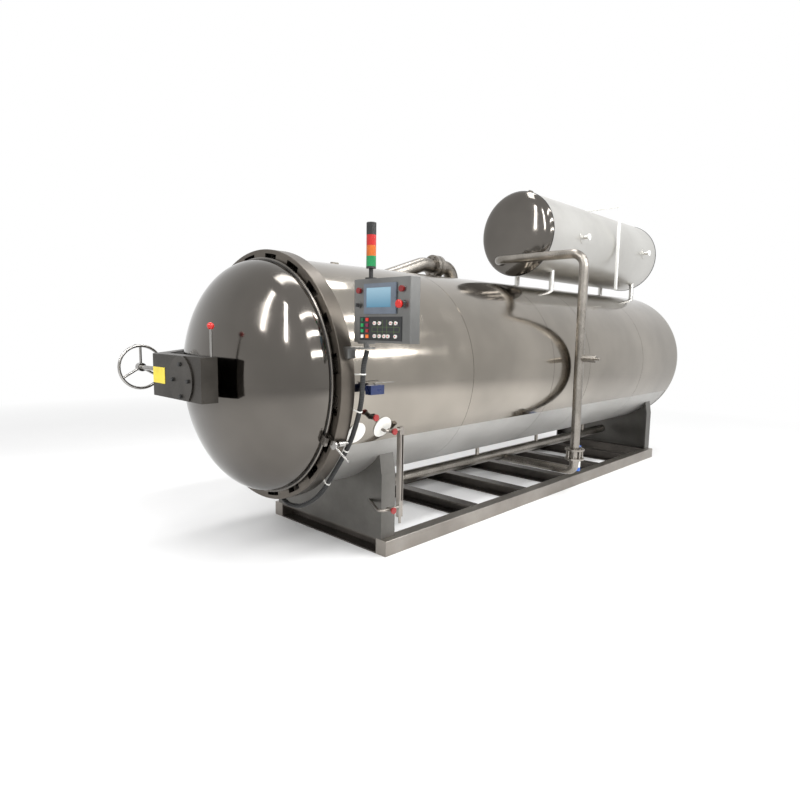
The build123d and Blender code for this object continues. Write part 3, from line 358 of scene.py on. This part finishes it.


# Control panel. A folded stainless box brushed upright, held by its bracket, with a grey screen
# frame round a lit screen. A black face below carries eight square buttons, and nine round
# indicators with green lines between them.
# The box's tone is darkened as painted shade, the shade on its front face.
panel_steel = ground_steel(
    "panel_steel", light=(0.215, 0.215, 0.208), dark=(0.15, 0.15, 0.146),
    rough=(0.26, 0.42), grain=(8, 8, 0.5), patch=3.0,
)
finish(panel_steel, "panel_box", "panel_bracket")
finish(painted("bezel_plastic", (0.1, 0.12, 0.15), rough=0.45), "hmi_bezel")
finish(painted("panel_black", (0.012, 0.013, 0.014), rough=0.35), "button_panel")
finish(painted("lamp_red", (0.16, 0.008, 0.008), rough=0.2), "panel_lamps")
finish(black_rubber, "key_switch_knob")

panel_front_x, panel_side_y, panel_top_z = -0.470, -0.760, 1.654
button_colours = {
    (0.070, 0.203): (0.01, 0.09, 0.04), (0.070, 0.231): (0.01, 0.26, 0.07),
    (0.070, 0.259): (0.01, 0.28, 0.09), (0.070, 0.287): (0.72, 0.7, 0.66),
    (0.106, 0.203): (0.6, 0.03, 0.02), (0.106, 0.231): (0.16, 0.01, 0.05),
    (0.106, 0.259): (0.3, 0.015, 0.015), (0.106, 0.287): (0.75, 0.16, 0.02),
}
upper_row, lower_row = 0.221, 0.285
indicator_places = [(across, upper_row) for across in (0.163, 0.198, 0.277, 0.311)]
indicator_places += [(across, lower_row) for across in (0.163, 0.198, 0.232, 0.258, 0.309)]
button_foot = 0.0031
button_reach, indicator_reach = 0.0095, 0.0096


def panel_place(across, down, out):
    """Points before the panel's front: X less by out, Y less by across, Z less by down."""
    place = np.broadcast_arrays(panel_front_x - out, panel_side_y - across, panel_top_z - down)
    return np.stack(place, -1)


def on_button(across, down, reach):
    """Test for the faces of one button on the black panel."""
    x, y, z = panel_place(across, down, button_foot)
    return lambda middle: middle[0] < x and abs(middle[1] - y) < reach and abs(middle[2] - z) < reach


for number, (place, colour) in enumerate(button_colours.items()):
    paint("button_panel", painted("button_%d" % number, colour, rough=0.3), on_button(*place, button_reach))
indicator_white = painted("indicator_white", (0.72, 0.7, 0.66), rough=0.3)
for place in indicator_places:
    paint("button_panel", indicator_white, on_button(*place, indicator_reach))


def hex_heads(feet, outward, radius, height):
    """Six-sided heads that stand on their feet and point along X, with or against it by a sign.

    The corners stand at sixths of a turn. A corner's Y is the foot's, less the sign times the
    radius times the cosine of its angle, and its Z is the foot's, less the radius times the sine.
    Its X is the foot's below, and the foot's plus the sign times the height on top."""
    feet, outward = np.array(feet, float), np.array(outward, float)[:, None]
    sides = 6
    corner = np.arange(sides)
    angle = 2 * np.pi * corner / sides
    y = feet[:, 1:2] - outward * radius * np.cos(angle)
    z = feet[:, 2:3] - radius * np.sin(angle)
    low = np.stack([feet[:, 0:1] + 0 * y, y, z], 2)
    high = np.stack([feet[:, 0:1] + outward * height + 0 * y, y, z], 2)
    points = np.concatenate([low, high], 1).reshape(-1, 3)
    beside = (corner + 1) % sides
    start = 2 * sides * np.arange(len(feet))[:, None, None]
    walls = start + np.stack([corner, beside, beside + sides, corner + sides], 1)
    ends = start + np.stack([corner[::-1], corner + sides])
    return points, [*walls.reshape(-1, 4), *ends.reshape(-1, sides)]


indicator_top = 0.0109
indicator_centre_radius, indicator_centre_height = 0.0042, 0.0009
across, down = np.array(indicator_places).T
centres = hex_heads(
    panel_place(across, down, indicator_top), [-1] * len(across),
    indicator_centre_radius, indicator_centre_height,
)
add_piece("indicator_centres", "retort", *centres, red_plastic)


def flat_bars(low, high):
    """Bars, each the box between a low and a high corner: its eight corners take X, Y and Z from
    either of the two, in every mixture."""
    choice = np.indices((2, 2, 2)).reshape(3, 8).T
    points = np.where(choice[None], high[:, None], low[:, None]).reshape(-1, 3)
    box = np.array([(0, 1, 3, 2), (4, 6, 7, 5), (0, 4, 5, 1), (2, 3, 7, 6), (0, 2, 6, 4), (1, 5, 7, 3)])
    return points, (8 * np.arange(len(low))[:, None, None] + box).reshape(-1, 4)


line_foot, line_top = 0.0029, 0.0034
line_half = 0.0005
line_left, line_right = 0.140, 0.332
column_top, column_foot = 0.205, 0.300
row_places = (0.240, 0.263)
column_places = (0.1805, 0.2155, 0.2455, 0.2945)
bars = [(line_left, line_right, down - line_half, down + line_half) for down in row_places]
bars += [(across - line_half, across + line_half, column_top, column_foot) for across in column_places]
bars += [
    (across - line_half, across + line_half, row_places[0] - line_half, row_places[1] + line_half)
    for across in (line_left + line_half, line_right - line_half)
]
left, right, top, foot = np.array(bars).T
mimic = flat_bars(panel_place(right, foot, line_top), panel_place(left, top, line_foot))
mimic_green = painted("mimic_green", (0.12, 0.2, 0.05), rough=0.5)
add_piece("mimic_lines", "retort", *mimic, mimic_green, smooth=False)


def screen_glass(name):
    """The lit screen: pale blue at the top to deeper blue below, behind smooth glass."""
    material, tree, shader = start_material(name)
    low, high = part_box("hmi_screen")
    span = add_node(tree, "MapRange")
    span.inputs["From Min"].default_value = low[2]
    span.inputs["From Max"].default_value = high[2]
    tree.links.new(level(tree, "Z"), span.inputs["Value"])
    deep_blue, pale_blue = (0.05, 0.14, 0.21), (0.19, 0.3, 0.37)
    blue = ramp(tree, span.outputs["Result"], [(0.0, deep_blue), (1.0, pale_blue)])
    tree.links.new(blue, shader.inputs["Base Color"])
    tree.links.new(blue, shader.inputs["Emission Color"])
    shader.inputs["Emission Strength"].default_value = 0.3
    shader.inputs["Roughness"].default_value = 0.12
    return material


finish(screen_glass("screen_glass"), "hmi_screen")


# Signal tower. Black moulded foot and cap with three glossy coloured lenses between them,
# stacked on a short stem on the panel's top.
def lens(name, colour):
    """Coloured tower lens: saturated glossy plastic with slight clouds."""
    material, tree, shader = start_material(name)
    cloud = noise_value(tree, scale=20.0)
    deep = tuple(0.7 * c for c in colour)
    tree.links.new(ramp(tree, cloud, [(0.3, deep), (0.7, colour)]), shader.inputs["Base Color"])
    shader.inputs["Roughness"].default_value = 0.16
    return material


finish(lens("lens_green", (0.006, 0.2, 0.06)), "tower_green_lens")
finish(lens("lens_amber", (0.5, 0.115, 0.012)), "tower_amber_lens")
finish(lens("lens_red", (0.4, 0.013, 0.012)), "tower_red_lens")
finish(dull_black("tower_black", shade=0.016, rough=0.4, grain_scale=250.0), "tower_body")


# Water tank. Rolled satin stainless sheet with dished heads, the front one polished, on four
# pipe legs. Thin dark joints run where the heads are welded on. The gauge and the discs on its
# two nozzles are white.
tank_sheet = ground_steel(
    "tank_sheet", light=(0.62, 0.612, 0.585), dark=(0.5, 0.49, 0.465),
    rough=(0.28, 0.44), grain=(0.6, 9, 9), patch=1.4,
)
finish(tank_sheet, "tank_shell", "tank_rear_head", "tank_legs", "tank_nozzles")
# The polished front head's dark tint is a painted reflection of dark surroundings.
tank_mirror_painted_reflection = mirror_steel(
    "tank_mirror_painted_reflection", tint=(0.145, 0.134, 0.121), rough=0.07, haze=0.18, wave=0.003, wave_scale=3.0,
)
finish(tank_mirror_painted_reflection, "tank_front_head")
gauge_white = painted("gauge_white", (0.72, 0.72, 0.69), rough=0.4)
finish(gauge_white, "tank_gauge")
disc_back_y = -0.4315
paint("tank_nozzles", gauge_white, lambda middle: middle[1] < disc_back_y)
tank_height = 2.289
tank_joint_radius, tank_joint_bar = 0.3768, 0.003
front_joint_x, rear_joint_x = 2.195, 4.519
front_joint, ring_faces = ring_bar(front_joint_x, tank_height, tank_joint_radius, tank_joint_bar, sides=8)
rear_joint = front_joint + [rear_joint_x - front_joint_x, 0, 0]
joint_points = np.vstack([front_joint, rear_joint])
joint_faces = np.vstack([ring_faces, ring_faces + len(front_joint)])
add_piece("tank_head_joints", "retort", joint_points, joint_faces, head_joint)


# Pipework. Satin stainless tube with welded joints, flanged at the riser's foot. The vent's two
# halves meet in a grooved coupling with a ring of bolt heads on each side. The level gauge is
# ground as the rails are.
pipe_steel = ground_steel(
    "pipe_steel", light=(0.32, 0.298, 0.268), dark=(0.18, 0.165, 0.145),
    rough=(0.22, 0.38), grain=(7, 7, 0.6), patch=5.0,
)
finish(pipe_steel, "riser_pipe", "riser_flanges", "circulation_pipes", "vent_pipe")
finish(rail_steel, "level_gauge")
vent_y, vent_z = 0.15, 1.925
coupling_front_x, coupling_rear_x = 1.181, 1.259
bolt_count, bolt_circle = 8, 0.073
bolt_radius, bolt_height = 0.009, 0.011
bolt_angle = np.repeat(2 * np.pi * (np.arange(bolt_count) + 0.5) / bolt_count, 2)
bolt_feet = np.column_stack([
    np.tile([coupling_front_x, coupling_rear_x], bolt_count),
    vent_y + bolt_circle * np.cos(bolt_angle),
    vent_z + bolt_circle * np.sin(bolt_angle),
])
bolt_heads = hex_heads(bolt_feet, [-1, 1] * bolt_count, bolt_radius, bolt_height)
add_piece("coupling_bolts", "retort", *bolt_heads, pipe_steel, smooth=False)


# Actuator on the pipe across the skid. An enamelled housing behind the riser, white with a blue
# foot and a blue cap, on a short stub of the pipe.
actuator_x, actuator_y = 2.16, -0.716
actuator_foot, actuator_top = 0.208, 0.428
actuator_reach, pipe_clear_height = 0.034, 0.2
blue, pale = (0.02, 0.1, 0.4), (0.7, 0.69, 0.66)
bands = [(0.0, blue), (0.14, blue), (0.15, pale), (0.82, pale), (0.83, blue), (1.0, blue)]
actuator_paint = painted("actuator_paint", pale, rough=0.35)
actuator_tree = actuator_paint.node_tree
actuator_height = add_node(actuator_tree, "MapRange")
actuator_height.inputs["From Min"].default_value = actuator_foot
actuator_height.inputs["From Max"].default_value = actuator_top
actuator_tree.links.new(level(actuator_tree, "Z"), actuator_height.inputs["Value"])
actuator_tree.links.new(
    ramp(actuator_tree, actuator_height.outputs["Result"], bands),
    actuator_tree.nodes["Principled BSDF"].inputs["Base Color"],
)


def on_actuator(middle):
    """Test for the actuator's faces among those of the pipes: near its axis and above them."""
    away = math.hypot(middle[0] - actuator_x, middle[1] - actuator_y)
    return away < actuator_reach and middle[2] > pipe_clear_height


paint("circulation_pipes", actuator_paint, on_actuator)


# Side valve, collars and clips. The ball valve's body is enamelled dark blue. The round pads on
# the cladding and the clips round the conduit are white.
finish(painted("valve_blue", (0.008, 0.018, 0.075), rough=0.3), "side_valve_body")
pale_enamel = painted("pale_enamel", (0.72, 0.71, 0.67), rough=0.4)
finish(pale_enamel, "cladding_collars", "conduit_clips")


# Floor. A pale studio floor that takes the object's shadow and fades to plain white away from it.
# It is not part of the object.
def floor():
    """A square at height zero that reaches half its side each way along X and Y. Its shaded pale
    tone gives way to an even white glow as the distance from the origin grows."""
    half = 30.0
    mesh = bpy.data.meshes.new("floor")
    corners = [(-half, -half, 0), (half, -half, 0), (half, half, 0), (-half, half, 0)]
    mesh.from_pydata(corners, [], [(0, 1, 2, 3)])
    piece = bpy.data.objects.new("floor", mesh)
    bpy.context.scene.collection.objects.link(piece)
    material, tree, shader = start_material("floor_pale")
    cloud = noise_value(tree, scale=0.7)
    pale_tones = [(0.2, grey(0.8)), (0.8, grey(0.84))]
    tree.links.new(ramp(tree, cloud, pale_tones), shader.inputs["Base Color"])
    shader.inputs["Roughness"].default_value = 0.7
    place = add_node(tree, "TexCoord")
    length = add_node(tree, "VectorMath", operation="LENGTH")
    tree.links.new(place.outputs["Object"], length.inputs[0])
    fade_start, fade_end = 4.0, 9.0
    fade = add_node(tree, "MapRange")
    fade.inputs["From Min"].default_value = fade_start
    fade.inputs["From Max"].default_value = fade_end
    tree.links.new(length.outputs["Value"], fade.inputs["Value"])
    glow = add_node(tree, "Emission")
    glow.inputs["Strength"].default_value = 1.0
    mix = add_node(tree, "MixShader")
    tree.links.new(fade.outputs["Result"], mix.inputs[0])
    tree.links.new(shader.outputs["BSDF"], mix.inputs[1])
    tree.links.new(glow.outputs["Emission"], mix.inputs[2])
    tree.links.new(mix.outputs["Shader"], tree.nodes["Material Output"].inputs["Surface"])
    mesh.materials.append(material)


floor()


# Lamps and surroundings. Long soft lamps beside, before and over the object, in even pale
# surroundings that are white where they are seen or mirrored.
def world_light():
    """Even pale surroundings: white where seen or mirrored, softer as light on the object."""
    world = bpy.data.worlds.new("studio")
    bpy.context.scene.world = world
    world.use_nodes = True
    tree = world.node_tree
    background = tree.nodes["Background"]
    path = add_node(tree, "LightPath")
    seen = add_node(tree, "Math", operation="MAXIMUM")
    tree.links.new(path.outputs["Is Camera Ray"], seen.inputs[0])
    tree.links.new(path.outputs["Is Glossy Ray"], seen.inputs[1])
    through = add_node(tree, "Math", operation="MAXIMUM")
    tree.links.new(seen.outputs[0], through.inputs[0])
    tree.links.new(path.outputs["Is Transmission Ray"], through.inputs[1])
    light_strength, seen_strength = 0.55, 1.0
    strength = add_node(tree, "MapRange")
    strength.inputs["To Min"].default_value = light_strength
    strength.inputs["To Max"].default_value = seen_strength
    tree.links.new(through.outputs[0], strength.inputs["Value"])
    tree.links.new(strength.outputs["Result"], background.inputs["Strength"])
    background.inputs["Color"].default_value = (1, 1, 1, 1)


def soft_lamp(name, place, target, size, power):
    """A rectangular area lamp aimed at a point."""
    data = bpy.data.lights.new(name, "AREA")
    data.shape = "RECTANGLE"
    data.size, data.size_y = size
    data.energy = power
    lamp = bpy.data.objects.new(name, data)
    lamp.location = place
    aim = np.array(target) - np.array(place)
    lamp.rotation_euler = Vector(aim).to_track_quat("-Z", "Y").to_euler()
    bpy.context.scene.collection.objects.link(lamp)


world_light()
for number, (y, z) in enumerate(((-5.8, 3.4), (-5.0, 5.2), (-3.6, 6.6))):
    soft_lamp("side_strip_%d" % number, (1.5, y, z), target=(1.5, 0, 1.1), size=(9, 0.45), power=230)
for number, y in enumerate((-1.6, 0.9)):
    soft_lamp("front_strip_%d" % number, (-5.0, y, 5.4), target=(0, 0, 1.1), size=(0.4, 4), power=130)
soft_lamp("top_lamp", (1.8, 1.0, 8.0), target=(1.8, 0, 1.0), size=(7, 1.2), power=260)


# Camera. It stands where the picture was taken from, before the door and to the near side, with
# the turn, tilt and lens that were fitted to the picture.
camera_place = (-2.5009, -3.0526, 1.4034)
camera_yaw, camera_pitch, camera_roll = -0.8052, -0.1202, 0.0155
camera_lens = 26.245


def photo_camera(yaw, pitch, roll):
    """A camera that looks along its yaw and pitch, turned about that line by its roll."""
    ahead = np.array([-math.sin(yaw), math.cos(yaw), 0.0])
    forward = math.cos(pitch) * ahead + np.array([0.0, 0.0, math.sin(pitch)])
    flat = np.array([math.cos(yaw), math.sin(yaw), 0.0])
    up = np.cross(flat, forward)
    right = flat * math.cos(roll) + up * math.sin(roll)
    top = -flat * math.sin(roll) + up * math.cos(roll)
    turn = np.eye(4)
    turn[:3, :3] = np.column_stack([right, top, -forward])
    turn[:3, 3] = camera_place
    data = bpy.data.cameras.new("camera")
    data.lens = camera_lens
    data.sensor_width = 36.0
    data.clip_end = 200.0
    camera = bpy.data.objects.new("camera", data)
    camera.matrix_world = Matrix(turn.tolist())
    bpy.context.scene.collection.objects.link(camera)
    bpy.context.scene.camera = camera


photo_camera(camera_yaw, camera_pitch, camera_roll)
bpy.context.scene.view_settings.view_transform = "Standard"
